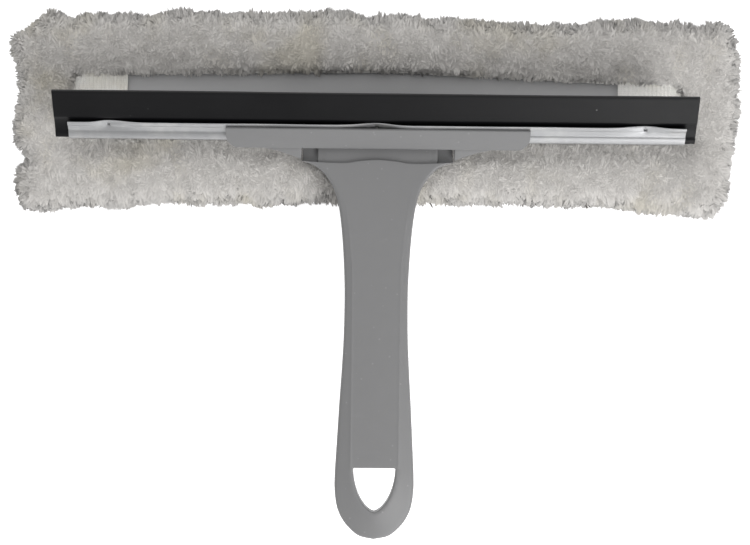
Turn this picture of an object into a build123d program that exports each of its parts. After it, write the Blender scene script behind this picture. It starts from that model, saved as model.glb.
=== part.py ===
from build123d import *
from math import cos, radians, sin
import os

# Window cleaning squeegee with a plush washer on its back. Millimetres.
# It lies on the plush: +Z up, +X along the blade, +Y from the handle's loop towards the blade.
# The origin is under the middle of the whole tool, on the surface that it lies on.

os.makedirs("parts", exist_ok=True)

# ---- driving dimensions ----
tool_half_length = 135.3        # from the origin to the loop's end, and to the cover's far edge
blade_tilt = 40.0               # rubber blade above the board's plane, degrees

# handle
neck_y = 56.7                   # where the handle's shells end at the head
neck_half = 38.9                # half width of the flare there
waist_half = 15.8
loop_half = 19.8
parting_z = 27.5                # the plane where the two shells meet
shell_wall = 2.4
panel_half = 12.4               # flat raised panel along the grip
panel_rise = 1.2
panel_end_y = -98.0
hole_top_y = -99.5              # the hanging hole: a straight top and half an ellipse below it
hole_half = 11.1
hole_depth = 21.9

screw_ys = (-84.0, -30.0, 12.0)  # along the middle of the back shell
screw_head_r, screw_shank_r, screw_room = 3.0, 1.4, 0.05
screw_head_z, screw_tip_z = 23.4, 33.0

# socket in the handle and the tongue that plugs into it
tongue_half = 30.6
tongue_taper = ((27.8, 53.6), (22.5, 48.5), (17.5, 42.0))  # half widths and their Y inside the flare
tongue_tip_half = 15.5
tongue_shoulder_y = 55.8
tongue_low_z = 26.4
tongue_high_z = 29.0
tongue_tip_y, tongue_root_y = 38.0, 66.6
socket_gap = 0.3
lip_end_y, lip_high_z = 64.0, 26.1   # the back shell's lip under the tongue
shelf_half, shelf_near_y, shelf_high_z = 38.4, 64.4, 28.0
socket_floor_z = 24.2

# jaw that grips the blade channel
channel_foot = (67.3, 31.4)     # Y and Z of the middle of the channel's bottom
jaw_half = 77.5
jaw_low, jaw_high = -2.6, 10.6  # along the blade, from the channel's bottom
jaw_inner, jaw_outer = 3.4, 5.1
jaw_corner = 9.0

# blade
channel_half = 156.8
channel_height = 11.7
crimp_x = 136.0                 # the outer crimps, on each side of the middle one
crimp_reach = 12.0
lip_open, lip_crimped = 2.9, 1.75
rubber_half = 162.6
rubber_height = 28.9

# washer board
board_half_x, board_half_y, board_thick = 160.0, 42.0, 3.0
board_low_z = 9.5
board_y = 82.8
stem_half, stem_near_y, stem_far_y = 27.0, 70.0, 78.2
screw_spacing = 20.0

# plush cover
cover_half_x, cover_half_y = 188.0, 52.5
pile_z = 7.7                    # pile under the back, pressed down by the tool's weight
knit = 1.5
fold_top_z = 23.0
slot_near_y, slot_far_y = 66.2, 104.0
slot_half = 167.0
pocket_edge = 128.0             # where each knit pocket's edge lies on the board
clear = 0.3

board_high_z = board_low_z + board_thick
tilt_cos, tilt_sin = cos(radians(blade_tilt)), sin(radians(blade_tilt))
foot = (0, *channel_foot)
# In BLADE, x runs up the blade, y out of its front face, and it is extruded along the row's X.
BLADE = Plane(origin=foot, x_dir=(0, tilt_cos, tilt_sin), z_dir=(1, 0, 0))
# In FRONT, x is the row's X, y runs up the blade, and it is extruded out of the front face.
FRONT = Plane(origin=foot, x_dir=(1, 0, 0), z_dir=(0, -tilt_sin, tilt_cos))


def save(shape, node):
    shape.label = node
    export_step(shape, f"parts/{node}.step")


def face_of(*points):
    return make_face(Polyline(*points, close=True))


def block(x, y, z):
    """A box from its lowest and highest X, Y and Z."""
    middle = [(low + high) / 2 for low, high in (x, y, z)]
    size = [high - low for low, high in (x, y, z)]
    return Pos(*middle) * Box(*size)


def along_x(profile, half):
    return Pos(-half, 0, 0) * extrude(profile, amount=2 * half)


# ---- handle ----
def handle_outline(inset=0.0):
    """The handle seen from the front, drawn as one closed face."""
    edge = [
        (neck_half - inset, neck_y),
        (26.4 - inset, 49.6),
        (19.2 - inset, 33.3),
        (16.7 - inset, 10.4),
        (waist_half - inset, -16.0),
        (16.9 - inset, -49.0),
        (18.9 - inset, -85.0),
        (loop_half - inset, -110.0),
        (14.8 - inset, -126.5 + inset / 2),
        (0, -tool_half_length + inset),
    ]
    right = Spline(*edge, tangents=[(-1, -0.42), (-1, 0)])
    return make_face([right, mirror(right, Plane.YZ), Line(edge[0], (-edge[0][0], neck_y))])


def handle_side(top_drop=0.0, floor_rise=0.0):
    """The handle seen from the side: a thin head over the cover, a deeper grip and a thinner loop."""
    top = Spline(
        (neck_y, 31.0 - top_drop),
        (30.0, 34.6 - top_drop),
        (-20.0, 36.8 - top_drop),
        (-80.0, 36.4 - top_drop),
        (-tool_half_length - 1, 32.5 - top_drop),
    )
    floor = Spline(
        (neck_y, socket_floor_z + floor_rise),
        (28.0, 23.9 + floor_rise),
        (-15.0, 20.6 + floor_rise),
        (-75.0, 20.6 + floor_rise),
        (-tool_half_length - 1, 24.0 + floor_rise),
    )
    ends = [Line(a, b) for a, b in ((top @ 0, floor @ 0), (top @ 1, floor @ 1))]
    return Plane.YZ * make_face([top, floor, *ends])


def handle_envelope():
    """The whole handle without its panel."""
    return extrude(handle_outline(), amount=60) & along_x(handle_side(top_drop=panel_rise), 60)


def grip_panel():
    """The flat raised strip along the grip, widening into the flare."""
    right = Spline((panel_half + 6, 42.0), (panel_half + 1.2, 12.0), (panel_half, -30.0))
    side = Line(right @ 1, (panel_half, panel_end_y))
    far = Line((panel_half, panel_end_y), (0, panel_end_y))
    near = Line((0, 42.0), right @ 0)
    half = make_face([right, side, far, near, Line((0, panel_end_y), (0, 42.0))])
    strip = extrude(half + mirror(half, Plane.YZ), amount=60)
    return strip & along_x(handle_side(), 60)


def tongue_outline(end_y, spare=0.0):
    """The tongue in plan: as wide as the jaw's notch, then narrowing with the handle's neck."""
    right = [(tongue_half + spare, end_y), (tongue_half + spare, tongue_shoulder_y)]
    right += [(half + spare, y) for half, y in tongue_taper]
    right += [(tongue_tip_half + spare, tongue_tip_y - spare)]
    return face_of(*right, *[(-x, y) for x, y in reversed(right)])


def hanging_hole():
    whole = Pos(0, hole_top_y) * Ellipse(hole_half, hole_depth)
    below = Pos(0, hole_top_y - hole_depth) * Rectangle(3 * hole_half, 2 * hole_depth)
    return extrude(whole & below, amount=60)


def handle_hollow():
    """The grip's inside, with posts left for the screws, and the socket for the tongue."""
    room = extrude(handle_outline(inset=shell_wall), amount=60)
    room &= along_x(handle_side(top_drop=panel_rise + shell_wall, floor_rise=shell_wall), 60)
    room &= block((-60, 60), (panel_end_y + 4, tongue_tip_y - 6), (0, 60))
    for y in screw_ys:
        room -= Pos(0, y, 0) * extrude(Circle(4.0), amount=60)
    low, high = tongue_low_z - socket_gap, tongue_high_z + socket_gap
    return room + Pos(0, 0, low) * extrude(tongue_outline(neck_y + 1, socket_gap), amount=high - low)


def turned_screw(head_z, tip_z, spare=0.0):
    """A countersunk screw standing upright, head down, or with spare room its hole."""
    head_r, shank_r = screw_head_r + spare, screw_shank_r + spare
    cone_top = head_z + head_r - shank_r
    outline = [(0, head_z), (head_r, head_z), (shank_r, cone_top), (shank_r, tip_z - 1.5), (0, tip_z)]
    return revolve(Plane.XZ * face_of(*outline))


def countersunk_screw(head_z, tip_z):
    cross = Box(3.2, 0.7, 1.4) + Box(0.7, 3.2, 1.4)
    return turned_screw(head_z, tip_z) - Pos(0, 0, head_z) * cross


def well(radius, top_z, depth):
    """An open hole up to top_z, for a screw's head to go in through."""
    return Pos(0, 0, top_z - depth / 2) * Cylinder(radius, depth)


handle_body = handle_envelope() + grip_panel()
handle_body -= hanging_hole()
handle_body -= handle_hollow()
for y in screw_ys:
    handle_body -= Pos(0, y, 0) * turned_screw(screw_head_z, screw_tip_z, screw_room)
    handle_body -= Pos(0, y, 0) * well(screw_head_r + screw_room, screw_head_z, 8)
# a shallow raised hump in the middle of the socket's front edge, to press when the head is released
hump = Pos(0, neck_y - 0.2, 0) * extrude(Ellipse(11.0, 1.9), amount=30.9)
hump &= block((-12, 12), (neck_y - 0.3, neck_y + 2), (tongue_high_z + socket_gap, 30.9))
above = block((-60, 60), (-150, 70), (parting_z, 60))
below = block((-60, 60), (-150, 70), (0, parting_z))
handle_front = (handle_body & above) + hump
# the back shell's floor runs on under the tongue, past the front shell's edge
apron_half = neck_half - 0.6
apron = block((-apron_half, apron_half), (neck_y - 0.5, lip_end_y), (socket_floor_z, lip_high_z))
handle_back = (handle_body & below) + apron
save(handle_front, "handle_front")
save(handle_back, "handle_back")
handle_screws = [
    Pos(0, y, 0) * countersunk_screw(screw_head_z, screw_tip_z) for y in screw_ys
]
save(Compound(children=handle_screws), "handle_screws")


# ---- head: jaw, board and their screws ----
def jaw_profile():
    """A trough open at the top, with a small hook on each wall over the channel's bead."""
    hook_low, hook_high, hook_in = 5.9, 6.9, 2.95
    wall = [(-0.4, jaw_inner), (hook_low, jaw_inner), (hook_high, hook_in), (jaw_high, jaw_inner)]
    wall += [(jaw_high, jaw_outer), (jaw_low, jaw_outer)]
    return BLADE * face_of(*wall, *[(u, -n) for u, n in reversed(wall)])


def jaw_bar():
    bar = along_x(jaw_profile(), jaw_half)
    low_edges = bar.edges().filter_by(Axis.X).sort_by(Axis.Y)[:1]
    bar = fillet(low_edges, 1.8)
    plate = FRONT * Pos(0, 10, 0) * Rectangle(2 * jaw_half, 2 * (10 - jaw_low))
    corners = plate.vertices().sort_by(Axis.Y)[:2]
    plate = fillet(corners, jaw_corner)
    return bar & extrude(plate, amount=10, both=True)


def cheek(side):
    """The flat web that carries the flare's line on to the jaw, beside the tongue."""
    inner, outer = neck_half - 0.1, 60.0
    low = -9.6
    curve = Spline((inner, low), (46.0, -6.2), (outer, jaw_low), tangents=[(1, 0.3), (1, 0.1)])
    outline = [curve, Line((outer, jaw_low), (outer, 0)), Line((outer, 0), (inner, 0)), Line((inner, 0), (inner, low))]
    web = extrude(FRONT * Pos(0, 0, 1.4) * make_face(outline), amount=2.7)
    web -= along_x(BLADE * face_of((-1.5, -4), (-1.5, 6), (5, 6), (5, -4)), 100)
    return web if side > 0 else mirror(web, Plane.YZ)


def stem():
    """A hollow post from the jaw's back down to the board, with a boss for each screw."""
    post = block((-stem_half, stem_half), (stem_near_y, stem_far_y), (board_high_z, 36))
    wall = 2.2
    post -= block(
        (wall - stem_half, stem_half - wall),
        (stem_near_y + wall, stem_far_y - wall),
        (board_high_z - 1, 24.0),
    )
    middle = (stem_near_y + stem_far_y) / 2
    for x in board_screw_xs:
        post += Pos(x, middle, (board_high_z + 25) / 2) * Cylinder(3.2, 25 - board_high_z)
    # the blade's own space stays free, and so does the jaw's trough
    trough = BLADE * face_of((-1.5, 0), (-1.5, 30), (40, 30), (40, -jaw_inner - 1), (-1.5, -jaw_inner - 1))
    return post - along_x(trough, 60)


board_screw_xs = (-screw_spacing, 0, screw_spacing)
board_screw_y = (stem_near_y + stem_far_y) / 2
board_screw_head_z, board_screw_tip_z = board_low_z + 0.2, 22.0
tongue = Pos(0, 0, tongue_low_z) * extrude(tongue_outline(tongue_root_y), amount=tongue_high_z - tongue_low_z)
tongue -= along_x(BLADE * face_of((-1.5, -6), (-1.5, 6), (5, 6), (5, -6)), 60)
# a lower shelf beside the tongue, level with the lip of the handle's back shell
shelf = block((-shelf_half, shelf_half), (shelf_near_y, tongue_root_y), (socket_floor_z, shelf_high_z))
shelf += block((-stem_half, stem_half), (shelf_near_y + 1, stem_near_y + 2), (socket_floor_z, tongue_low_z + 1))
blade_jaw = jaw_bar() + cheek(1) + cheek(-1) + tongue + shelf + stem()
board = extrude(Pos(0, board_y, board_low_z) * RectangleRounded(2 * board_half_x, 2 * board_half_y, 9), board_thick)
for x in board_screw_xs:
    place = Pos(x, board_screw_y, 0)
    screw_hole = place * turned_screw(board_screw_head_z, board_screw_tip_z, screw_room)
    blade_jaw -= screw_hole
    board -= screw_hole
    board -= place * well(screw_head_r + screw_room, board_screw_head_z, 1)
board = fillet(board.faces().sort_by(Axis.Z)[-1].outer_wire().edges(), 0.8)
board_screws = [
    Pos(x, board_screw_y, 0) * countersunk_screw(board_screw_head_z, board_screw_tip_z)
    for x in board_screw_xs
]
save(blade_jaw, "blade_jaw")
save(board, "washer_board")
save(Compound(children=board_screws), "board_screws")


# ---- blade: aluminium channel and rubber ----
def channel_section(x, lip):
    """One cross-section of the folded strip. lip is how far the front wall's outer edge leans out."""
    wall = 0.8
    outer = [(channel_height, lip), (5.6, 2.1), (4.7, 2.7), (0.7, 2.7), (0, 2.0)]
    inner = [(0.8, 1.6), (1.1, 1.9), (4.4, 1.9), (5.4, 1.25), (channel_height, lip - wall)]
    back = [(channel_height, -1.25), (5.4, -1.25), (4.4, -1.9), (1.1, -1.9), (0.8, -1.6)]
    shell = [(0, -2.0), (0.7, -2.7), (4.7, -2.7), (5.6, -2.1), (channel_height, -2.1)]
    ring = outer + shell + back + inner
    return Plane(origin=(x, *channel_foot), x_dir=BLADE.x_dir, z_dir=(1, 0, 0)) * face_of(*ring)


crimps = (-crimp_x, 0.0, crimp_x)
stations = [(-channel_half, lip_open)]
for x in crimps:
    stations += [(x - crimp_reach, lip_open), (x, lip_crimped), (x + crimp_reach, lip_open)]
stations += [(channel_half, lip_open)]
blade_channel = loft([channel_section(x, lip) for x, lip in stations], ruled=True)
for x in crimps:
    blade_channel -= BLADE * Pos(8.6, 2.55, x) * Sphere(0.8)

bead, neck, root, tip = 1.75, 0.8, 0.95, 0.9
half_profile = [(0.95, bead - 0.3), (1.3, bead), (4.0, bead), (5.0, neck), (12.4, neck), (13.2, 1.5)]
half_profile += [(rubber_height - 2.0, tip + 0.1), (rubber_height, tip)]
rubber_profile = half_profile + [(u, -n) for u, n in reversed(half_profile)]
rubber_blade = along_x(BLADE * face_of(*rubber_profile), rubber_half)
save(blade_channel, "blade_channel")
save(rubber_blade, "rubber_blade")


# ---- plush cover ----
back_knit_z = pile_z + knit
cover_near_y, cover_far_y = board_y - cover_half_y, board_y + cover_half_y
hem_wide = 2.5


def fold(far):
    """The strip of plush that turns over one long edge of the board, as a bent slab."""
    edge = cover_far_y if far else cover_near_y
    out = 1 if far else -1
    board_edge = board_y + out * (board_half_y + clear)
    knit_edge = board_edge + out * 1.7
    inner = slot_far_y if far else slot_near_y
    low, over = back_knit_z, board_high_z + clear
    bend = 5.0
    outline = [
        (knit_edge, pile_z),
        (edge, pile_z),
        (edge, fold_top_z - bend),
        (edge - out * bend, fold_top_z),
        (inner + out * 2, fold_top_z),
        (inner, fold_top_z - 2),
        (inner, over),
        (board_edge, over),
        (board_edge, low),
        (knit_edge, low),
    ]
    return along_x(Plane.YZ * face_of(*outline), slot_half)


def end_pile(side):
    body = block((slot_half, cover_half_x), (cover_near_y, cover_far_y), (pile_z, 21.0))
    outer = body.edges().filter_by(Axis.Z).sort_by(Axis.X)[-2:]
    body = fillet(outer, 10)
    body -= block((slot_half - 1, slot_half + 8), (board_y - 44, board_y + 44), (0, back_knit_z))
    return body if side > 0 else mirror(body, Plane.YZ)


def knit_pocket(side):
    """The ribbed knit that holds one end of the board: over its top and down past its end."""
    over, end = board_high_z + clear, board_half_x + clear
    outline = [
        (pocket_edge, over),
        (end, over),
        (end, back_knit_z),
        (slot_half, back_knit_z),
        (slot_half, over + 1.2),
        (pocket_edge, over + 1.2),
    ]
    near, far = slot_near_y + hem_wide, slot_far_y - hem_wide
    sleeve = Plane.XZ * face_of(*outline)
    body = Pos(0, far, 0) * extrude(sleeve, amount=far - near)
    return body if side > 0 else mirror(body, Plane.YZ)


def hem(far):
    """The bound edge of the slot, lying on the board along the fold."""
    near_y = slot_far_y - hem_wide if far else slot_near_y
    over = board_high_z + clear
    roll = block((-slot_half, slot_half), (near_y, near_y + hem_wide), (over, over + 2.0))
    return fillet(roll.edges().filter_by(Axis.X).sort_by(Axis.Z)[-2:], 0.9)


back = Pos(0, board_y, 0) * RectangleRounded(2 * cover_half_x, 2 * cover_half_y, 10)
back_pile = extrude(back, amount=pile_z)
back_pile = fillet(back_pile.faces().sort_by(Axis.Z)[0].outer_wire().edges(), 3.5)
back_knit = block(
    (-slot_half - 8, slot_half + 8),
    (board_y - 44, board_y + 44),
    (pile_z, back_knit_z),
)
save(back_pile, "cover_back_pile")
save(back_knit, "cover_back_knit")
save(fold(True), "cover_far_fold")
save(fold(False), "cover_near_fold")
for name, side in (("left", -1), ("right", 1)):
    save(end_pile(side), f"cover_{name}_end")
    save(knit_pocket(side), f"knit_pocket_{name}")
save(hem(True), "slot_hem_far")
save(hem(False), "slot_hem_near")
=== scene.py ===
import math

import bpy
import numpy as np
from bpy.props import FloatProperty, FloatVectorProperty, IntProperty, PointerProperty
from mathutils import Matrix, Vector, geometry, kdtree


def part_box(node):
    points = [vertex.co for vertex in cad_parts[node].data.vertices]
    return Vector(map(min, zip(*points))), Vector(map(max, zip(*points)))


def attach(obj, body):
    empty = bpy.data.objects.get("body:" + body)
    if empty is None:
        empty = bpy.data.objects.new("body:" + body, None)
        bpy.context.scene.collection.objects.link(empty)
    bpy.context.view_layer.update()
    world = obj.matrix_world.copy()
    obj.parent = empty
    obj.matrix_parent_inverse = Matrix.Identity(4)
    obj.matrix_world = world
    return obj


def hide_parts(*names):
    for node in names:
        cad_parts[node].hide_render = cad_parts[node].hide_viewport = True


bl_info = {
    "name": "Window Squeegee with Plush Washer",
    "version": (1, 0, 0),
    "blender": (4, 5, 0),
    "location": "View3D > Sidebar > Squeegee",
    "description": "Builds the handle, jaw, blade, board and plush cover of a window squeegee",
    "category": "Object",
}

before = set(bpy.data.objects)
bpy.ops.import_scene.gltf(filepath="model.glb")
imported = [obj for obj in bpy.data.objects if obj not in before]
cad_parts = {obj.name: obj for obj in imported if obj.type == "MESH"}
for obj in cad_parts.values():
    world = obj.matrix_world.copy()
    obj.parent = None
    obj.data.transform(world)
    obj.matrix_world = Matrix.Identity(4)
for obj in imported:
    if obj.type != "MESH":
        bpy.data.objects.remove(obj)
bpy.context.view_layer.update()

# Sizes in this file are in millimetres unless a property says otherwise.
MM = 0.001


def box_mm(node):
    """Lowest and highest corner of a CAD node, in millimetres."""
    return [np.array(corner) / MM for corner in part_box(node)]


# ---------------------------------------------------------------- shader graphs


class Wire:
    """A shader socket that takes part in sums; every sum adds its Math node."""

    def __init__(self, graph, socket):
        self.graph = graph
        self.socket = socket

    def output(self, name):
        return Wire(self.graph, self.socket.node.outputs[name])

    def math(self, operation, *values, clamp=False):
        settings = {"operation": operation, "use_clamp": clamp}
        return self.graph.add("ShaderNodeMath", settings, dict(enumerate(values)))

    def __add__(self, other):
        return self.math("ADD", self, other)

    def __sub__(self, other):
        return self.math("SUBTRACT", self, other)

    def __rsub__(self, other):
        return self.math("SUBTRACT", other, self)

    def __mul__(self, other):
        return self.math("MULTIPLY", self, other)

    __radd__ = __add__
    __rmul__ = __mul__

    def clamped(self):
        return self.math("ADD", self, 0.0, clamp=True)

    def over(self, low, high):
        """0 below low, 1 above high, smooth between them."""
        sockets = {"Value": self, "From Min": low, "From Max": high}
        return self.graph.add("ShaderNodeMapRange", {"interpolation_type": "SMOOTHSTEP"}, sockets)


class Graph:
    """One material's node tree, on a principled shader. Places are in metres, on the piece."""

    def __init__(self, name):
        self.material = bpy.data.materials.new(name)
        self.material.use_nodes = True
        self.nodes = self.material.node_tree.nodes
        self.links = self.material.node_tree.links
        self.shader = self.nodes["Principled BSDF"]

    def add(self, kind, settings=None, sockets=None):
        """Adds a node: its settings first, then values or wires for its sockets."""
        node = self.nodes.new(kind)
        for key, value in (settings or {}).items():
            setattr(node, key, value)
        for key, value in (sockets or {}).items():
            if isinstance(value, Wire):
                self.links.new(value.socket, node.inputs[key])
            else:
                node.inputs[key].default_value = value
        return Wire(self, node.outputs[0])

    def pattern(self, kind, settings=None, stretch=None, **sockets):
        """Adds a texture node that lies on the piece."""
        place = self.add("ShaderNodeTexCoord").output("Object")
        if stretch:
            place = self.add("ShaderNodeMapping", None, {"Vector": place, "Scale": stretch})
        return self.add(kind, settings, {"Vector": place, **sockets})

    def noise(self, scale, detail=2.0, rough=0.5, stretch=None):
        """Noise, drawn out along the axes where stretch is small."""
        sockets = {"Scale": scale, "Detail": detail, "Roughness": rough}
        return self.pattern("ShaderNodeTexNoise", stretch=stretch, **sockets)

    def specks(self, scale, low, high):
        """1 in the middle of scattered dots, 0 between them."""
        return 1.0 - self.pattern("ShaderNodeTexVoronoi", Scale=scale).over(low, high)

    def bands(self, axis, scale):
        """Rounded ribs across an axis, from 0 to 1."""
        settings = {"wave_type": "BANDS", "bands_direction": axis, "wave_profile": "SIN"}
        return self.pattern("ShaderNodeTexWave", settings, Scale=scale, Distortion=0.0).output("Fac")

    def shade(self, color, other, share, tone):
        """A colour with a share of another in it, times a grey tone."""
        sockets = {"Factor": share, 6: (*color, 1.0), 7: (*other, 1.0)}
        mixed = self.add("ShaderNodeMix", {"data_type": "RGBA"}, sockets).output(2)
        return self.add("ShaderNodeVectorMath", {"operation": "SCALE"}, {0: mixed, "Scale": tone})

    def bump(self, height, distance, below=None):
        sockets = {"Height": height, "Distance": distance, "Strength": 1.0}
        if below is not None:
            sockets["Normal"] = below
        return self.add("ShaderNodeBump", None, sockets)

    def finish(self, constants, **varying):
        """Sets the shader's constants on its own sockets and links what varies over the surface."""
        for key, value in constants.items():
            self.shader.inputs[key].default_value = value
        for key, wire in varying.items():
            self.links.new(wire.socket, self.shader.inputs[key.replace("_", " ")])
        return self.material


def moulded_plastic(name, color, roughness=0.46):
    """Moulded plastic: fine grain, faint flow marks, small scuffs, specks of dust and a painted highlight
    along sharp edges.
    """
    g = Graph(name)
    flow = g.noise(9.0, 3.0, 0.6, (1.0, 0.35, 1.0))
    mottle = g.noise(160.0, 4.0)
    dust = g.specks(170.0, 0.05, 0.11) * 0.12
    scuffs = g.noise(420.0, 2.0, 0.6, (0.12, 1.0, 0.5)).over(0.62, 0.78)
    # Pointiness: a painted highlight that lightens the tone along sharp edges.
    edges = g.add("ShaderNodeNewGeometry").output("Pointiness").over(0.505, 0.56)
    tone = 0.94 + flow * 0.06 + mottle * 0.05 + scuffs * 0.03 + edges * 0.05
    shade = g.shade(color, (0.55, 0.55, 0.54), dust, tone)
    rough = roughness - 0.08 + mottle * 0.12 + scuffs * 0.10 + flow * 0.05
    grain = g.bump(g.noise(2600.0), 0.000018)
    normal = g.bump(scuffs, -0.00001, g.bump(g.noise(55.0), 0.00008, grain))
    return g.finish({"IOR": 1.46}, Base_Color=shade, Roughness=rough, Normal=normal)


def rolled_aluminium(name, color):
    """Rolled aluminium strip: long fine draw lines, soft stains and dull patches."""
    g = Graph(name)
    lines = g.noise(900.0, 3.0, 0.7, (0.015, 1.0, 1.0))
    fine = g.noise(3000.0, 2.0, 0.6, (0.01, 1.0, 1.0))
    stains = g.noise(45.0, 4.0, 0.65)
    scratches = g.noise(500.0, 2.0, 0.5, (0.05, 1.0, 1.0)).over(0.66, 0.76)
    tone = 0.90 + lines * 0.12 + stains * 0.10 - scratches * 0.08
    shade = g.shade(color, (0.72, 0.71, 0.68), stains.over(0.45, 0.75) * 0.25, tone)
    rough = 0.34 + lines * 0.10 + stains * 0.12
    normal = g.bump(lines + fine * 0.5, 0.00002)
    return g.finish({}, Base_Color=shade, Roughness=rough, Normal=normal, Metallic=0.86 + stains * 0.1)


def wiper_rubber(name, color):
    """Black extruded rubber: faint extrusion lines, a grey bloom and a few specks of dust."""
    g = Graph(name)
    lines = g.noise(700.0, 2.0, 0.6, (0.02, 1.0, 1.0))
    bloom = g.noise(38.0, 4.0, 0.6)
    grain = g.noise(1900.0)
    dust = g.specks(120.0, 0.03, 0.07) * g.noise(60.0, 1.0).over(0.5, 0.62) * 0.35
    shade = g.shade(color, (0.28, 0.28, 0.27), dust, 0.8 + bloom * 0.35 + lines * 0.12)
    normal = g.bump(grain, 0.00002, g.bump(lines, 0.00003))
    rough = 0.26 + bloom * 0.14 + grain * 0.06
    return g.finish({"Specular IOR Level": 0.18}, Base_Color=shade, Roughness=rough, Normal=normal)


def ribbed_knit(name, color):
    """Stretch knit: the loops of its ribs, fuzz and slightly uneven white."""
    g = Graph(name)
    loops = g.bands("Y", 330.0) * g.bands("X", 560.0)
    fuzz = g.noise(1500.0, 3.0, 0.7)
    uneven = g.noise(60.0, 3.0)
    tone = 0.84 + loops * 0.12 + fuzz * 0.08 + uneven * 0.08
    shade = g.shade(color, (0.66, 0.62, 0.50), uneven.over(0.4, 0.7) * 0.4, tone)
    normal = g.bump(loops + fuzz * 0.6, 0.00022)
    constants = {"Sheen Weight": 0.25, "Sheen Roughness": 0.5, "Specular IOR Level": 0.2}
    return g.finish(constants, Base_Color=shade, Roughness=0.86 + fuzz * 0.1, Normal=normal)


def bound_hem(name, color):
    """Woven binding tape: a fine twill with fuzz."""
    g = Graph(name)
    twill = g.bands("DIAGONAL", 900.0)
    fuzz = g.noise(1300.0, 3.0, 0.7)
    shade = g.shade(color, (0.70, 0.68, 0.60), fuzz * 0.3, 0.82 + twill * 0.12 + fuzz * 0.12)
    normal = g.bump(twill + fuzz, 0.00012)
    constants = {"Sheen Weight": 0.2, "Specular IOR Level": 0.2}
    return g.finish(constants, Base_Color=shade, Roughness=0.85 + fuzz * 0.1, Normal=normal)


def plush_pile(name, color, cream):
    """Microfibre pile: each tuft has its own shade, painted shade darkening it towards its root, cream where
    it is matted.
    """
    g = Graph(name)
    tuft = g.add("ShaderNodeAttribute", {"attribute_name": "tuft"}).output("Color")
    own = g.add("ShaderNodeSeparateColor", None, {"Color": tuft})
    along, matted = own.output("Green"), own.output("Blue")
    patches = g.noise(24.0, 3.0, 0.55).over(0.52, 0.74)
    grey = g.noise(70.0, 3.0, 0.6)
    mottle = g.noise(230.0, 2.0, 0.6)
    fuzz = g.noise(1700.0, 3.0, 0.7)
    # along * 0.16 darkens each tuft towards its root: painted shade between the tufts, which cast no
    # shadows.
    tone = 0.58 + own * 0.12 + along * 0.16 + fuzz * 0.06 + grey * 0.10 + mottle * 0.20
    shade = g.shade(color, cream, (patches * 0.55 + matted * 0.35).clamped(), tone)
    constants = {"Sheen Weight": 0.35, "Sheen Roughness": 0.45, "Specular IOR Level": 0.25}
    return g.finish(constants, Base_Color=shade, Roughness=0.82 + fuzz * 0.12, Normal=g.bump(fuzz, 0.00025))


def turned_steel(name, color):
    """Plated screw steel with fine turning marks."""
    g = Graph(name)
    marks = g.noise(1500.0, 3.0, 0.6)
    stains = g.noise(300.0, 3.0)
    shade = g.shade(color, (0.42, 0.41, 0.38), stains * 0.4, 0.85 + marks * 0.25)
    rough = 0.25 + stains * 0.2
    return g.finish({"Metallic": 1.0}, Base_Color=shade, Roughness=rough, Normal=g.bump(marks, 0.00001))


# ---------------------------------------------------------------- flat geometry


def columns(*values):
    """Numbers and arrays side by side, one row for each place."""
    return np.stack(np.broadcast_arrays(*values), axis=-1)


def unit(vectors, least=1e-9):
    return vectors / (np.linalg.norm(vectors, axis=1)[:, None] + least)


def eased(value, low, high):
    t = np.clip((value - low) / (high - low), 0, 1)
    return t * t * (3 - 2 * t)


def flat(height):
    """A height field that is the same everywhere."""
    return lambda at: np.full(len(at), height)


def way_along(line):
    """How far along a line each of its places lies."""
    return np.concatenate([[0], np.cumsum(np.linalg.norm(np.diff(line, axis=0), axis=1))])


def spread(line, count, last):
    """Evenly spaced places along a line, with or without the last one."""
    way = way_along(line)
    at = np.linspace(0, way[-1], count, endpoint=last)
    return columns(*[np.interp(at, way, column) for column in line.T])


def smooth_line(points, count, round_again=False):
    """A smooth line through the points, as count evenly spaced places."""
    points = np.array(points, float)
    if round_again:
        padded = np.vstack([points[-1], points, points[:2]])
    else:
        padded = np.vstack([2 * points[0] - points[1], points, 2 * points[-1] - points[-2]])
    t = np.linspace(0, 1, 16, endpoint=False)[:, None]
    runs = []
    for a, b, c, d in zip(padded, padded[1:], padded[2:], padded[3:]):
        bend = (2 * a - 5 * b + 4 * c - d) * t**2 + (3 * b - a - 3 * c + d) * t**3
        runs.append(0.5 * (2 * b + (c - a) * t + bend))
    return spread(np.vstack(runs + [padded[-2][None]]), count, not round_again)


def between(points, count):
    """Evenly spaced places along straight runs, without the last one."""
    return spread(np.array(points, float), count, False)


def circle(x, y, radius, count, start=0, end=360):
    turn = np.radians(np.linspace(start, end, count, endpoint=False))
    return columns(np.cos(turn), np.sin(turn)) * radius + (x, y)


def rounded_box(low, high, radius, step):
    """A rectangle with round corners, anticlockwise."""
    turn = np.radians(np.linspace(0, 90, max(3, int(radius * 1.6 / step) + 2)))
    corners = []
    for quarter, (sx, sy) in enumerate(((1, 1), (-1, 1), (-1, -1), (1, -1))):
        middle = np.where([sx > 0, sy > 0], np.array(high) - radius, np.array(low) + radius)
        angle = turn + quarter * math.pi / 2
        corners.append(middle + radius * columns(np.cos(angle), np.sin(angle)))
    sides = []
    for corner, following in zip(corners, corners[1:] + corners[:1]):
        gap = np.linalg.norm(following[0] - corner[-1])
        runs = between([corner[-1], following[0]], max(2, int(gap / step)))
        sides += [corner[:-1], runs]
    return np.vstack(sides)


def left_of(loop):
    """The direction to the left of travel at each place of a closed line."""
    ahead = unit(np.roll(loop, -1, axis=0) - loop, 1e-12)
    along = unit(ahead + np.roll(ahead, 1, axis=0), 1e-12)
    return columns(-along[:, 1], along[:, 0])


def is_inside(places, loop):
    inside = np.zeros(len(places), bool)
    x, y = places[:, 0], places[:, 1]
    for (ax, ay), (bx, by) in zip(loop, np.roll(loop, -1, axis=0)):
        crosses = (ay > y) != (by > y)
        if ay != by:
            inside ^= crosses & (x < (bx - ax) * (y - ay) / (by - ay) + ax)
    return inside


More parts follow.
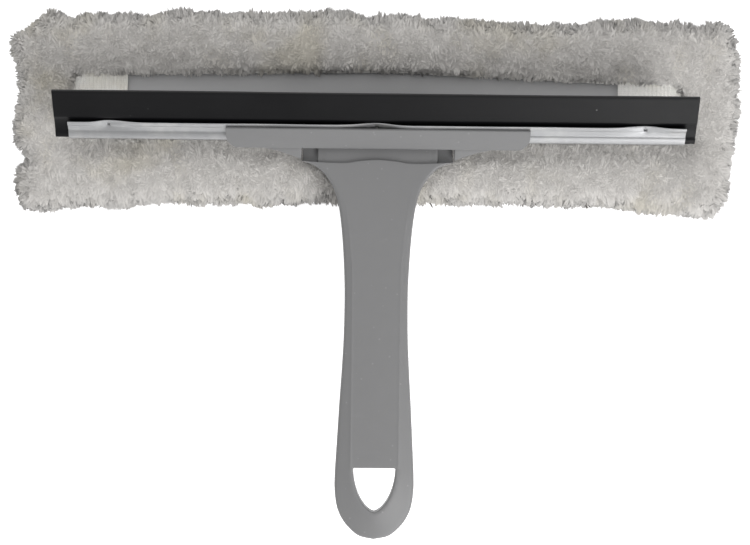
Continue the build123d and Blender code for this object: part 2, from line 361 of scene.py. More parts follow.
def nearest(places, loop):
    """Distance to, and index of, the nearest place of a line."""
    far, index = np.empty(len(places)), np.empty(len(places), int)
    for start in range(0, len(places), 4000):
        part = places[start:start + 4000]
        gap = np.linalg.norm(part[:, None] - loop[None], axis=2)
        index[start:start + 4000] = gap.argmin(axis=1)
        far[start:start + 4000] = gap.min(axis=1)
    return far, index


class Skin:
    """One side of a plate: its places, their drop at the rounded edges, triangles and rims."""

    def __init__(self, loops, radii, spacing, steps, creases):
        places, drops, edges, self.rims = [], [], [], []
        count = 0
        for loop, radius in zip(loops, radii):
            radius = np.broadcast_to(np.asarray(radius, float), len(loop))
            inward = left_of(loop)
            for turn in np.linspace(0, math.pi / 2, steps + 1):
                places.append(loop + inward * (radius * (1 - math.cos(turn)))[:, None])
                drops.append(radius * (1 - math.sin(turn)))
                ring = count + np.arange(len(loop))
                edges += list(zip(ring.tolist(), np.roll(ring, -1).tolist()))
                if turn == 0:
                    self.rims.append(ring)
                count += len(loop)
        for line in creases:
            line = np.array(line, float)
            places.append(line)
            drops.append(np.zeros(len(line)))
            ring = (count + np.arange(len(line))).tolist()
            edges += list(zip(ring, ring[1:]))
            count += len(line)
        inner = self.grid(loops, radii, spacing)
        places.append(inner)
        drops.append(np.zeros(len(inner)))
        places, drops = np.vstack(places), np.concatenate(drops)
        made = geometry.delaunay_2d_cdt([Vector(p) for p in places], edges, [], 0, 1e-5)
        self.places = np.array([(v.x, v.y) for v in made[0]])
        sources = made[3]
        self.drops = np.array([max((drops[i] for i in s), default=0.0) for s in sources])
        became = {i: at for at, s in enumerate(sources) for i in s}
        self.rims = [np.array([became[i] for i in rim]) for rim in self.rims]
        triangles = np.array([f for f in made[2] if len(f) == 3])
        middles = self.places[triangles].mean(axis=1)
        keep = is_inside(middles, loops[0])
        for hole in loops[1:]:
            keep &= ~is_inside(middles, hole)
        a, b, c = (self.places[triangles[:, i]] for i in range(3))
        turn = (b[:, 0] - a[:, 0]) * (c[:, 1] - a[:, 1]) - (b[:, 1] - a[:, 1]) * (c[:, 0] - a[:, 0])
        triangles[turn < 0] = triangles[turn < 0][:, ::-1]
        self.triangles = triangles[keep]

    @staticmethod
    def grid(loops, radii, spacing):
        low, high = loops[0].min(axis=0), loops[0].max(axis=0)
        rows = np.arange(low[1], high[1], spacing * 0.87)
        x, y = np.meshgrid(np.arange(low[0], high[0], spacing), rows)
        x = x + (np.arange(len(rows)) % 2)[:, None] * spacing / 2
        inner = columns(x.ravel(), y.ravel())
        inner = inner[is_inside(inner, loops[0])]
        for number, (loop, radius) in enumerate(zip(loops, radii)):
            radius = np.broadcast_to(np.asarray(radius, float), len(loop))
            if number:
                inner = inner[~is_inside(inner, loop)]
            far, index = nearest(inner, loop)
            inner = inner[far > radius[index] + 0.5 * spacing]
        return inner


def plate(loops, top, low, top_radii, low_radii, spacing, steps, top_creases=(), low_creases=()):
    """A closed plate between two height fields, with rounded edges.

    The first loop is its rim and runs anticlockwise; the others are holes and run clockwise.
    """
    upper = Skin(loops, top_radii, spacing, steps, top_creases)
    under = Skin(loops, low_radii, spacing, steps, low_creases)
    upper_z = top(upper.places) - upper.drops
    under_z = low(under.places) + under.drops
    points = np.vstack([columns(*upper.places.T, upper_z), columns(*under.places.T, under_z)])
    first = len(upper.places)
    faces = upper.triangles.tolist() + (under.triangles[:, ::-1] + first).tolist()
    for high_rim, low_rim in zip(upper.rims, under.rims):
        low_rim = low_rim + first
        faces += columns(low_rim, np.roll(low_rim, -1), np.roll(high_rim, -1), high_rim).tolist()
    return points, faces


def lofted(sections):
    """A solid through closed sections of equal counts, as an array of section, place, axis."""
    sections = np.array(sections, float)
    many, around = sections.shape[:2]
    ring = np.arange(around)
    faces = []
    for s in range(many - 1):
        a, b = s * around + ring, (s + 1) * around + ring
        faces += columns(a, b, np.roll(b, -1), np.roll(a, -1)).tolist()
    faces += [ring.tolist(), ((many - 1) * around + ring)[::-1].tolist()]
    return sections.reshape(-1, 3), faces


def joined(*parts):
    points, faces, first = [], [], 0
    for part_points, part_faces in parts:
        points.append(part_points)
        faces += [[first + i for i in face] for face in part_faces]
        first += len(part_points)
    return np.vstack(points), faces


def piece(name, solid, slot, body, nodes, crease):
    """Makes an object of a solid in millimetres that rides on a body and stands for CAD nodes."""
    points, faces = solid
    mesh = bpy.data.meshes.new(name)
    mesh.from_pydata((np.asarray(points) * MM).tolist(), [], faces)
    mesh.validate()
    mesh.shade_smooth()
    mesh.set_sharp_from_angle(angle=math.radians(crease))
    made = placed(name, mesh, slot, body)
    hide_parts(*nodes)
    return made


def placed(name, mesh, slot, body):
    """An object of a mesh, with its slot's finish, that rides on a body."""
    mesh.materials.append(finish(slot))
    made = bpy.data.objects.new(name, mesh)
    bpy.context.scene.collection.objects.link(made)
    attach(made, body)
    return made


# ---------------------------------------------------------------- sizes and colours


def length(name, description, default):
    return FloatProperty(
        name=name, description=description, default=default * MM, unit="LENGTH", subtype="DISTANCE"
    )


def colour(name, description, default):
    return FloatVectorProperty(
        name=name, description=description, default=default, subtype="COLOR", size=3, min=0, max=1
    )


class SqueegeeHandle(bpy.types.PropertyGroup):
    """Sizes and colour of the handle."""

    edge: length("Edge rounding", "Radius round the handle's outer edge", 1.6)
    flank: FloatProperty(name="Flank slope", description="Fall of the sides beside the panel", default=0.28)
    bead: length("Panel bead", "Height of the fine bead along the panel's edge", 0.16)
    parting: length("Parting line", "Height where the two shells meet", 27.5)
    plastic: colour("Plastic", "Colour of the handle, jaw and board", (0.193, 0.193, 0.195))


class SqueegeeBlade(bpy.types.PropertyGroup):
    """Sizes and colours of the jaw, the channel and the rubber."""

    tilt: FloatProperty(
        name="Blade tilt", description="Blade above the board", default=math.radians(40), subtype="ANGLE"
    )
    foot_y: length("Foot across", "Middle of the channel's bottom, towards the far edge", 67.3)
    foot_z: length("Foot height", "Middle of the channel's bottom, above the floor", 31.4)
    aluminium: colour("Aluminium", "Colour of the channel", (0.35, 0.353, 0.36))
    rubber: colour("Rubber", "Colour of the blade", (0.0045, 0.0045, 0.0052))


class SqueegeeCover(bpy.types.PropertyGroup):
    """Sizes and colours of the plush cover."""

    pile: length("Pile", "Length of the plush tufts", 4.6)
    spacing: length("Tuft spacing", "Distance between tufts on the sides that show", 1.08)
    seed: IntProperty(name="Seed", description="Start of the random draws", default=7)
    plush: colour("Plush", "Colour of the pile", (0.672, 0.652, 0.628))
    cream: colour("Matted plush", "Colour of matted pile", (0.63, 0.59, 0.49))
    knit: colour("Knit", "Colour of the knit pockets", (0.90, 0.89, 0.86))


class SqueegeeStudio(bpy.types.PropertyGroup):
    """The camera and the light."""

    distance: length("Camera height", "Camera above the floor", 1100.0)
    lens: FloatProperty(name="Lens", description="Focal length in millimetres", default=100.6)
    turn: FloatProperty(name="Turn", description="Camera's roll", default=0.0115, subtype="ANGLE")
    key: FloatProperty(
        name="Key light", description="Power of the large soft light", default=12.5, unit="POWER"
    )
    sky: FloatProperty(name="Sky", description="Strength of the even light", default=0.55)


# ---------------------------------------------------------------- handle

LEFT_AND_RIGHT = (-1.0, 1.0)
# The tongue's half width and how far across that is, from its tip to the jaw.
TONGUE = ((15.5, 38.0), (17.5, 42.0), (22.5, 48.5), (27.8, 53.6), (30.6, 55.8), (30.6, 70.0))
PALM_EDGE = 4.0
PARTING_GAP = 0.04
SOCKET_ROOF, SOCKET_FLOOR = 29.3, 26.1


class HandleShape:
    """The handle's outline and its heights."""

    outline = [
        (38.9, 56.7), (32.1, 54.2), (26.8, 49.6), (22.1, 42.0), (19.6, 33.3), (18.1, 22.7),
        (17.05, 10.4), (16.3, -4.0), (16.1, -16.0), (16.35, -33.0), (17.1, -49.0), (18.1, -65.0),
        (19.2, -85.0), (20.1, -102.0), (20.15, -111.0), (18.9, -119.8), (16.1, -126.2),
        (12.1, -131.1), (7.2, -134.8), (0.0, -136.4),
    ]
    tops = [
        (-136, 33.2), (-110, 35.1), (-80, 36.4), (-50, 36.9), (-20, 36.8), (5, 36.0), (30, 34.6), (57, 31.0),
    ]
    floors = [(-136, 24.0), (-105, 21.8), (-75, 20.6), (-15, 20.6), (10, 21.8), (28, 23.4), (57, 24.2)]
    panel = [(-140, 12.4), (-14, 12.4), (12, 13.5), (30, 15.6), (42, 18.5), (52, 26.0), (60, 34.0)]
    panel_half, corner = 12.4, 0.9
    hole_top, hole_half, hole_deep = -99.5, 10.8, 22.5
    screws = (-84.0, -30.0, 12.0)

    def __init__(self, sizes):
        self.sizes = sizes
        side = smooth_line(self.outline, 230)
        mirrored = (side * (-1, 1))[::-1][1:]
        self.sweep = np.vstack([side, mirrored])[::-1]
        turn = np.radians(np.linspace(180, 360, 70))
        half = np.sign(np.cos(turn)) * np.abs(np.cos(turn)) ** 1.25 * self.hole_half
        bowl = columns(half, self.hole_top + np.sin(turn) * self.hole_deep)
        bowl[0] += (0.25, -0.1)
        bowl[-1] += (-0.25, -0.1)
        lid_end = (self.corner - self.hole_half, self.hole_top)
        lid = between([(self.hole_half - self.corner, self.hole_top), lid_end], 26)
        self.hole = np.vstack([bowl, lid, [lid_end]])[::-1]

    @staticmethod
    def curve(knots, y):
        places = smooth_line(knots, 200)
        return np.interp(y, places[:, 0], places[:, 1])

    def outside_panel(self, at):
        """Distance outside the raised panel and the rim that carries on round the hole."""
        x, y = np.abs(at[:, 0]), at[:, 1]
        beside = x - self.curve(self.panel, y)
        round_hole = nearest(at, self.hole)[0] - (self.panel_half - self.hole_half)
        return np.where(y > self.hole_top, beside, round_hole)

    def top(self, at):
        y = at[:, 1]
        out = self.outside_panel(at)
        fade = 1 - 0.85 * eased(y, 14, 50)
        fall = self.sizes.flank * np.maximum(out, 0) * fade
        fall -= self.sizes.bead / MM * np.exp(-(((out + 0.25) / 0.45) ** 2)) * fade
        bow = 0.0016 * np.minimum(np.abs(at[:, 0]), 14) ** 2
        return self.curve(self.tops, y) - fall - bow

    @staticmethod
    def socket_half(y, spare=0.3):
        """Half width of the tongue, or with spare room of its socket."""
        knots = np.array(TONGUE)
        return np.interp(y, knots[:, 1], knots[:, 0]) + spare

    def in_socket(self, at):
        return (np.abs(at[:, 0]) < self.socket_half(at[:, 1])) & (at[:, 1] > TONGUE[0][1] - 0.5)

    def socket_lines(self, end):
        lines = []
        for spare in (0.2, 0.4):
            y = np.linspace(TONGUE[0][1] - 0.3 - spare, end, 24)
            right = columns(self.socket_half(y, spare), y)
            lines.append(np.vstack([right[::-1], right * (-1, 1)]))
        return lines

    def floor(self, at):
        across = np.abs(at[:, 0])
        return self.curve(self.floors, at[:, 1]) + 0.006 * np.minimum(across, 20) ** 2


def shell_front(shape):
    """The front shell: raised panel, sloping flanks, the hump at the socket and the hanging hole."""
    sizes = shape.sizes
    hump = [(-38.9, 56.7), (-30, 56.1), (-17, 55.8), (-9, 56.9), (0, 57.5)]
    hump += [(9, 56.9), (17, 55.8), (30, 56.1), (38.9, 56.7)]
    rim = np.vstack([shape.sweep, smooth_line(hump, 90)[1:-1][::-1]])
    edge, crisp = sizes.edge / MM, 0.35
    radii = np.full(len(rim), crisp)
    ends = eased(np.abs(shape.sweep[:, 0]), 30, 38.5)
    radii[:len(shape.sweep)] = edge - (edge - crisp) * ends

    def underside(at):
        return np.where(shape.in_socket(at), SOCKET_ROOF, sizes.parting / MM + PARTING_GAP)

    panel_lines = []
    for out in (-1.1, -0.7, -0.4, -0.1, 0.2, 0.6):
        y = np.linspace(-99, 40, 90)
        for side in LEFT_AND_RIGHT:
            panel_lines.append(columns(side * (shape.curve(shape.panel, y) + out), y))
    return plate(
        [rim, shape.hole], shape.top, underside, [radii, shape.corner], [0.25, 0.25], 1.5, 6,
        top_creases=panel_lines, low_creases=shape.socket_lines(55.4),
    )


def shell_back(shape):
    """The back shell: rounded for the palm, with three screw wells and a lip under the tongue."""
    sizes = shape.sizes
    lip = [(-38.9, 56.7), (-38.3, 57.6), (-38.3, 63.7), (-38.0, 64.0)]
    lip = between([*lip, *[(-x, y) for x, y in reversed(lip)]], 100)[1:]
    rim = np.vstack([shape.sweep, lip[::-1]])
    edge = np.full(len(rim), 0.5)
    edge[:len(shape.sweep)] = PALM_EDGE - 3.4 * eased(np.abs(shape.sweep[:, 0]), 22, 38)
    wells = [circle(0, y, 3.05, 32, 360, 0) for y in shape.screws]

    def inside(at):
        low = shape.in_socket(at) | (at[:, 1] > 56.9)
        return np.where(low, SOCKET_FLOOR, sizes.parting / MM - PARTING_GAP)

    creases = shape.socket_lines(56.6)
    for y in (56.8, 57.1):
        creases.append([(x, y) for x in np.linspace(-37.5, 37.5, 60)])
    top_radii, low_radii = [0.06, 0.25, 0.1, 0.1, 0.1], [edge, 1.0, 0.5, 0.5, 0.5]
    loops = [rim, shape.hole, *wells]
    return plate(loops, inside, shape.floor, top_radii, low_radii, 1.7, 6, top_creases=creases)


# ---------------------------------------------------------------- jaw, channel, rubber

BOARD_SCREWS = (-20.0, 0.0, 20.0)


class BladeFrame:
    """Places up the blade (u) and out of its front face (n) in the row's frame."""

    def __init__(self, sizes):
        self.cos, self.sin = math.cos(sizes.tilt), math.sin(sizes.tilt)
        self.y, self.z = sizes.foot_y / MM, sizes.foot_z / MM

    def put(self, x, u, n):
        y = self.y + u * self.cos - n * self.sin
        z = self.z + u * self.sin + n * self.cos
        return columns(x, y, z)

    def stand(self, solid):
        """Turns a plate drawn flat as (x, u, n) on to the blade's front."""
        points, faces = solid
        return self.put(points[:, 0], points[:, 1], points[:, 2]), faces


def arc(middle, radius, start, end, count):
    turn = np.radians(np.linspace(start, end, count))
    return [(middle[0] + radius * math.cos(a), middle[1] + radius * math.sin(a)) for a in turn]


def and_back(line):
    """A line up one face of the blade, and back down the other."""
    return line + [(u, -n) for u, n in reversed(line)]


def jaw_bar(blade):
    """The jaw's trough with its bull-nosed lower lip and round-cornered ends."""
    half, corner = 77.1, 9.0
    front = [(9.9, 4.2), *arc((9.5, 4.3), 0.4, 20, 80, 3), (8.0, 4.78), (6.4, 5.0), (4.6, 5.15)]
    front += [(2.8, 5.2), (1.0, 5.14), *arc((-0.7, 3.3), 1.82, 90, 180, 9)]
    trough = [(9.9, -3.4), (6.9, -2.95), (5.9, -3.4), (-0.4, -3.4)]
    u, n = np.array(and_back(front) + and_back(trough)).T
    rise = np.clip(corner - (u + 2.6), 0, corner)
    ends = half - corner + np.sqrt(corner**2 - rise**2)
    reach = np.concatenate([[-1], np.linspace(-0.985, 0.985, 60), [1]])
    return lofted([blade.put(t * ends, u, n) for t in reach])


def jaw_cheeks(blade):
    """The webs beside the tongue that carry the flare's line on to the jaw."""
    curve = smooth_line([(38.85, -9.6), (42.0, -8.3), (46.5, -6.4), (52.0, -4.4), (60.0, -2.6)], 40)
    edges = between([(60.0, -2.6), (60.0, -0.5), (38.85, -0.5), (38.85, -9.6)], 60)
    right = np.vstack([curve[:-1], edges])

    def face(at):
        return 4.25 - 0.35 * eased(at[:, 1], -3.4, -2.2) - 0.02 * (np.abs(at[:, 0]) - 38.8)

    solids = []
    for rim in ((right * (-1, 1))[::-1], right):
        radii = np.where(rim[:, 1] > -1.2, 0.1, 0.7)
        solids.append(blade.stand(plate([rim], face, flat(1.4), [radii], [0.4], 1.3, 4)))
    return joined(*solids)


def jaw_tongue():
    """The flat tongue that plugs into the handle, with its thicker middle and lead-in edge."""
    right = [(half, min(y, 66.2)) for half, y in TONGUE]
    rim = between([*right, *[(-x, y) for x, y in reversed(right)], right[0]], 130)

    def top(at):
        x, y = np.abs(at[:, 0]), at[:, 1]
        return 28.98 + 0.16 * eased(-x, -27.5, -26.8) - 0.5 * eased(-y, -42, -39)

    steps = [side * x for side in LEFT_AND_RIGHT for x in (26.8, 27.5)]
    creases = [[(x, y) for y in np.linspace(56.5, 65, 12)] for x in steps]
    tongue = plate([rim], top, flat(26.45), [0.4], [0.4], 1.6, 3, top_creases=creases)
    shelf_rim = rounded_box((-38.4, 64.4), (38.4, 70.6), 0.6, 1.5)
    shelf = plate([shelf_rim], flat(26.4), flat(24.3), [0.04], [0.4], 1.5, 3)
    return joined(tongue, shelf)


def jaw_stem(blade):
    """The post down to the board: a ribbed block with three screw bosses."""
    rim = rounded_box((-27.0, 70.0), (27.0, 78.2), 2.2, 0.9)
    foot = flat(box_mm("washer_board")[1][2] + 0.02)

    def under_jaw(at):
        n = -5.0
        u = (at[:, 1] - blade.y + n * blade.sin) / blade.cos
        return blade.z + u * blade.sin + n * blade.cos + 0.6

    def slope(at):
        return 31.0 - 17.0 * eased(at[:, 1], 77.0, 85.0)

    solids = [plate([rim], under_jaw, foot, [0.4], [0.7], 1.6, 3)]
    for x in BOARD_SCREWS:
        solids.append(plate([circle(x, 78.0, 3.6, 28)], flat(25.0), foot, [0.8], [0.3], 1.2, 3))
    for x in (-26.2, -13.5, 13.5, 26.2):
        gusset = rounded_box((x - 0.8, 76.0), (x + 0.8, 84.5), 0.4, 0.5)
        solids.append(plate([gusset], slope, foot, [0.2], [0.2], 0.8, 2))
    return joined(*solids)


CRIMPS = (-136.0, 0.0, 136.0)
# The channel and the rubber sit a little to the left in the jaw.
CHANNEL_SHIFT, RUBBER_SHIFT = -0.6, -1.4


def channel_section(at):
    """The strip's profile at a place along it: outside, back and hollow."""
    crimp = min(CRIMPS, key=lambda c: abs(at - c))
    skew = at - crimp
    near_left, near_right = (6.5, 11.0) if at < -60 else (11.0, 9.0)
    press = math.exp(-((skew / (near_left if skew < 0 else near_right)) ** 2)) if abs(skew) < 40 else 0.0
    wave = 0.10 * math.sin(at * 0.045 + 0.6) + 0.05 * math.sin(at * 0.13)
    lip, rise = 3.5 + wave - 1.6 * press, 11.8 + 0.3 * press
    dent = 0.55 * math.exp(-(skew / 2.2) ** 2) if at else 0.0
    punch = 1.5 * math.exp(-(skew / 0.75) ** 4) if at else 0.0
    wall = [
        (rise, lip - 0.25), (rise - 0.15, lip - 0.02), (10.3, lip - 0.05 - 0.3 * press),
        (9.2, 2.72 + wave - 0.8 * press - 0.35 * dent - punch), (8.6, 2.5 - 0.7 * press - 0.7 * dent),
        (8.0, 2.4 - 0.6 * press - 0.35 * dent), (6.8, 2.2 - 0.35 * press),
    ]
    foot = [
        (5.9, 2.02), (5.5, 2.05), (5.1, 2.4), (4.7, 2.62), (3.4, 2.68), (2.2, 2.62), (1.2, 2.35),
        (0.55, 1.85), (0.1, 1.2), (0.0, 0.0), (0.08, -1.7), (0.45, -2.3), (1.0, -2.68), (2.7, -2.75),
        (4.7, -2.68),
    ]
    back = [(5.5, -2.1), (12.0, -2.1), (12.2, -1.9), (12.1, -1.35)]
    hollow = [(5.5, -1.25), (4.4, -1.9), (1.1, -1.9), (0.8, 0.0), (1.1, 1.9), (4.4, 1.9), (5.4, 1.3)]
    hollow += [(8.6, 1.6 - 0.7 * press - 0.4 * dent), (rise - 0.15, lip - 0.75)]
    return np.array(wall + foot + back + hollow).T


def channel_body(blade):
    """The folded strip: rolled foot, a fold line, and a front wall pressed in at the crimps."""
    half = 156.5
    close = [np.linspace(crimp - 14, crimp + 14, 85) for crimp in CRIMPS]
    places = np.unique(np.concatenate([np.linspace(-half, half, 150), *close]))
    return lofted([blade.put(at + CHANNEL_SHIFT, *channel_section(at)) for at in places])


def rubber_body(blade):
    """The blade: a round bead in the channel, a neck and a straight lip with crisp edges."""
    half, high = 162.6, 28.9
    face = [
        (0.95, 1.2), (1.25, 1.6), (1.9, 1.75), (3.4, 1.75), (4.1, 1.5), (4.7, 0.95), (5.3, 0.8), (11.9, 0.8),
        (12.6, 1.05), (13.3, 1.45), (14.0, 1.5), (16.0, 1.42), (20.0, 1.27), (24.0, 1.12), (27.6, 1.0),
        (28.6, 0.95), (28.85, 0.86), (high, 0.72),
    ]
    u, n = np.array(and_back(face)).T
    places = [-half, 0.15 - half, *np.linspace(1 - half, half - 1, 110), half - 0.15, half]
    sections = []
    for at in places:
        end = 0.9 if abs(at) == half else 1.0
        lean = 0.12 * np.sin(at * 0.021 + 0.8) * (u / high) ** 2
        wavy = 0.05 * np.sin(at * 0.05) * (u > 28)
        sections.append(blade.put(at + RUBBER_SHIFT, u + wavy, n * end + lean))
    return lofted(sections)


# ---------------------------------------------------------------- board and cover


def closed(loop):
    return np.vstack([loop, loop[:1]])


def board_body():
    """The washer board, with a low stiffening rim under the cover."""
    low, high = box_mm("washer_board")
    insets = ((5, 5.0, 2.5), (8, 4.0, 2.5), (6.5, 4.5, 2.0))
    ridges = [rounded_box(low[:2] + inset, high[:2] - inset, *rest) for inset, *rest in insets]
    rim = rounded_box(low[:2], high[:2], 9.0, 1.6)
    wells = [circle(x, 74.1, 3.1, 28, 360, 0) for x in BOARD_SCREWS]

    def top(at):
        far = nearest(at, ridges[-1])[0]
        return high[2] - 0.35 + 0.35 * eased(-far, -1.5, -0.5)

    top_radii, low_radii = [0.9, 0.1, 0.1, 0.1], [0.5, 0.3, 0.3, 0.3]
    creases = [closed(ridge) for ridge in ridges]
    return plate([rim, *wells], top, flat(low[2]), top_radii, low_radii, 4.0, 4, top_creases=creases)


# The outline of the cover over the tips of its pile, anticlockwise.
COVER_EDGE = [
    (188, 110), (187, 121), (184, 128), (178, 133.4), (171, 133.2), (166, 129.6), (161, 131.8),
    (148, 132.4), (139, 133.2), (118, 133.2), (104, 131.6), (84, 130.9), (60, 132), (38, 133.6),
    (26, 132.8), (14, 134.9), (2, 134.6), (-7, 133.8), (-20, 136.6), (-45, 135.8), (-66, 135.4),
    (-90, 135.8), (-110, 136), (-120, 132.8), (-130, 134.8), (-141, 133.4), (-149, 134.8),
    (-160, 132.2), (-168, 135.6), (-175, 133.8), (-180, 128.4), (-186, 124.6), (-191, 121.8),
    (-192, 114), (-189.5, 104), (-187.6, 95), (-189.4, 84), (-190.2, 68), (-187, 61), (-184, 57.6),
    (-188, 53.5), (-189, 45), (-188, 37), (-185, 31), (-177, 28.8), (-168, 29.4), (-157, 31.8),
    (-146, 32.2), (-134, 30.4), (-124, 32.6), (-108, 34.4), (-92, 33), (-74, 34.4), (-60, 33.2),
    (-40, 34.4), (-20, 34.6), (0, 35), (24, 35.6), (50, 34.8), (74, 35), (96, 34.4), (116, 34.6),
    (128, 33.4), (142, 30.8), (156, 31), (168, 28.9), (174, 29.6), (178, 33.2), (182, 39.5),
    (184, 48), (184.4, 56), (186, 66), (187.4, 78), (189.2, 88), (187.4, 98),
]


def cover_backing_edge(sizes):
    """The outline of the cover's backings, inside the tips of its pile."""
    line = smooth_line(COVER_EDGE, 620, round_again=True)
    return line + left_of(line) * (sizes.pile / MM * 0.8)


def lumps(at, seed, size):
    """Smooth uneven heights from -1 to 1 over points in millimetres."""
    rng = np.random.default_rng(seed)
    total = np.zeros(len(at))
    for _ in range(14):
        heading = rng.normal(size=at.shape[1])
        heading *= rng.uniform(0.6, 1.6) * 2 * math.pi / (size * 2.2) / np.linalg.norm(heading)
        total += np.sin(at @ heading + rng.uniform(0, 6.28))
    return total / 5.0


def lumps_each_way(at, seed, size):
    """Uneven headings: three sets of lumps, one for each axis."""
    return columns(*[lumps(at, seed + axis, size) for axis in range(3)])


def slot_shift(x):
    """How far the far side of the slot lies in towards the blade, along its length."""
    return np.interp(x, [-165, -115, -60, 0, 40, 115, 165], [2.6, 2.4, 1.2, 0.2, 1.4, 4.6, 5.4])


def slot_line():
    """The slot's edge in the plush, clockwise."""
    line = rounded_box((-158.8, 68.0), (157.6, 104.6), 5.0, 2.2)[::-1]
    line[:, 1] -= slot_shift(line[:, 0]) * eased(line[:, 1], 80, 100)
    return line


def fold_ring(sizes):
    """Backing of the plush that turns over the board all round the slot."""
    low, high = box_mm("washer_board")
    slot = slot_line()
    top_z = box_mm("cover_far_fold")[1][2] - sizes.pile / MM + 0.6

    def top(at):
        rough = lumps(at, 3, 26.0) * 0.7 + lumps(at, 4, 7.0) * 0.45
        near_slot = nearest(at, slot)[0]
        low_side = 1.2 + 2.6 * (at[:, 1] < 75)
        return top_z + rough - low_side * (1 - eased(near_slot, 0, 14))

    def under(at):
        over_board = (np.abs(at[:, 0]) < high[0] + 1) & (at[:, 1] > low[1] - 1) & (at[:, 1] < high[1] + 1)
        return np.where(over_board, high[2] + 0.6, 7.2)

    creases = [closed(rounded_box(low[:2] - 1 - k, high[:2] + 1 + k, 1.0, 3.0)) for k in (-0.1, 0.1)]
    loops = [cover_backing_edge(sizes), slot]
    return plate(loops, top, under, [7.5, 3.0], [0.6, 0.3], 3.0, 6, low_creases=creases)


def back_pad(sizes):
    """Backing of the plush that the tool lies on."""
    top = flat(box_mm("cover_back_pile")[1][2] - 0.05)

    def under(at):
        return 3.4 + lumps(at, 9, 18.0) * 0.3

    return plate([cover_backing_edge(sizes)], top, under, [0.5], [3.2], 4.0, 4)


def scattered(solid, area_each, seed):
    """Places over a solid's faces with their smooth normals."""
    rng = np.random.default_rng(seed)
    points, faces = solid[0], []
    for face in solid[1]:
        faces += [face] if len(face) == 3 else [face[:3], [face[0], *face[2:]]]
    faces = np.array(faces)
    a, b, c = (points[faces[:, i]] for i in range(3))
    cross = np.cross(b - a, c - a)
    normals = np.zeros_like(points)
    for i in range(3):
        np.add.at(normals, faces[:, i], cross)
    normals = unit(normals)
    area = np.linalg.norm(cross, axis=1) / 2
    sure = np.cumsum(area / area_each)
    picks = np.searchsorted(sure, np.arange(0, sure[-1], 1.0) + rng.uniform(0, 1, int(math.ceil(sure[-1]))))
    picks = np.clip(picks, 0, len(faces) - 1)
    share = rng.uniform(0, 1, (len(picks), 2))
    flip = share.sum(axis=1) > 1
    share[flip] = 1 - share[flip]
    weights = columns(1 - share.sum(axis=1), *share.T)
    place, normal = (np.einsum("ij,ijk->ik", weights, values[faces[picks]]) for values in (points, normals))
    return place, unit(normal)


# Share of a tuft's own roundness in its shading; the rest is the backing's.
OWN_NORMAL = 0.45
# Rings of a tuft: how far along it they lie, and how thick it is there.
TUFT_RINGS = ((0.0, 0.85), (0.42, 1.0), (0.80, 0.72))
TUFT_TIP = 9
def clump_tips(roots, heading, lengths, rng):
    """Where each tuft's tip is drawn to: the tip of a nearby leading tuft."""
    leaders = rng.permutation(len(roots))[:max(1, len(roots) // 6)]
    tree = kdtree.KDTree(len(leaders))
    for index, leader in enumerate(leaders):
        tree.insert(roots[leader], index)
    tree.balance()
    near = np.array([tree.find(root)[1] for root in roots])
    splay = unit(heading[leaders] + rng.normal(0, 0.42, (len(leaders), 3)))
    tips = roots[leaders] + splay * (lengths[leaders] * rng.uniform(0.85, 1.6, len(leaders)))[:, None]
    return tips[near]


def tuft_mesh(name, roots, facing, heading, bend, lengths, widths, shades, matted):
    """Tapered three-sided tufts, each curling over to its tip, as one mesh, shaded softly."""
    count, corners = len(roots), TUFT_TIP + 1
    across = unit(np.cross(heading, np.array([0.31, 0.55, 0.77])))
    other = np.cross(heading, across)
    points, normals = np.empty((2, count, corners, 3))
    colours = np.ones((count, corners, 4))
    colours[:, :, 0] = shades[:, None]
    colours[:, :, 2] = matted[:, None]
    for ring, (share, thick) in enumerate(TUFT_RINGS):
        middle = roots + heading * (lengths * share)[:, None] + bend * (lengths * share**2)[:, None]
        for corner in range(3):
            at = ring * 3 + corner
            turn = corner * 2 * math.pi / 3
            offset = across * math.cos(turn) + other * math.sin(turn)
            points[:, at] = middle + offset * (widths * thick)[:, None]
            normals[:, at] = facing * 0.8 + heading * 0.3 + offset * OWN_NORMAL
            # Green: how far along the tuft; the plush material turns it into painted shade at the root.
            colours[:, at, 1] = share
    points[:, TUFT_TIP] = roots + heading * lengths[:, None] + bend * lengths[:, None]
    normals[:, TUFT_TIP] = facing * 0.7 + heading * 0.6
    points[:, :, 2] = np.maximum(points[:, :, 2], 0.08)
    triangles = []
    for ring in (0, 3):
        for a, b in ((ring, ring + 1), (ring + 1, ring + 2), (ring + 2, ring)):
            triangles += [(a, b, b + 3), (a, b + 3, a + 3)]
    triangles += [(6, 7, TUFT_TIP), (7, 8, TUFT_TIP), (8, 6, TUFT_TIP)]
    faces = (np.arange(count)[:, None, None] * corners + np.array(triangles)[None]).reshape(-1)
    mesh = bpy.data.meshes.new(name)
    mesh.vertices.add(count * corners)
    mesh.vertices.foreach_set("co", (points * MM).astype(np.float32).ravel())
    mesh.loops.add(len(faces))
    mesh.loops.foreach_set("vertex_index", faces.astype(np.int32))
    mesh.polygons.add(len(faces) // 3)
    mesh.polygons.foreach_set("loop_start", np.arange(0, len(faces), 3, dtype=np.int32))
    mesh.update(calc_edges=True)
    mesh.shade_smooth()
    mesh.normals_split_custom_set_from_vertices(unit(normals.reshape(-1, 3)).tolist())
    layer = mesh.color_attributes.new("tuft", "FLOAT_COLOR", "POINT")
    layer.data.foreach_set("color", colours.astype(np.float32).ravel())
    placed(name, mesh, "plush", "cover").visible_shadow = False


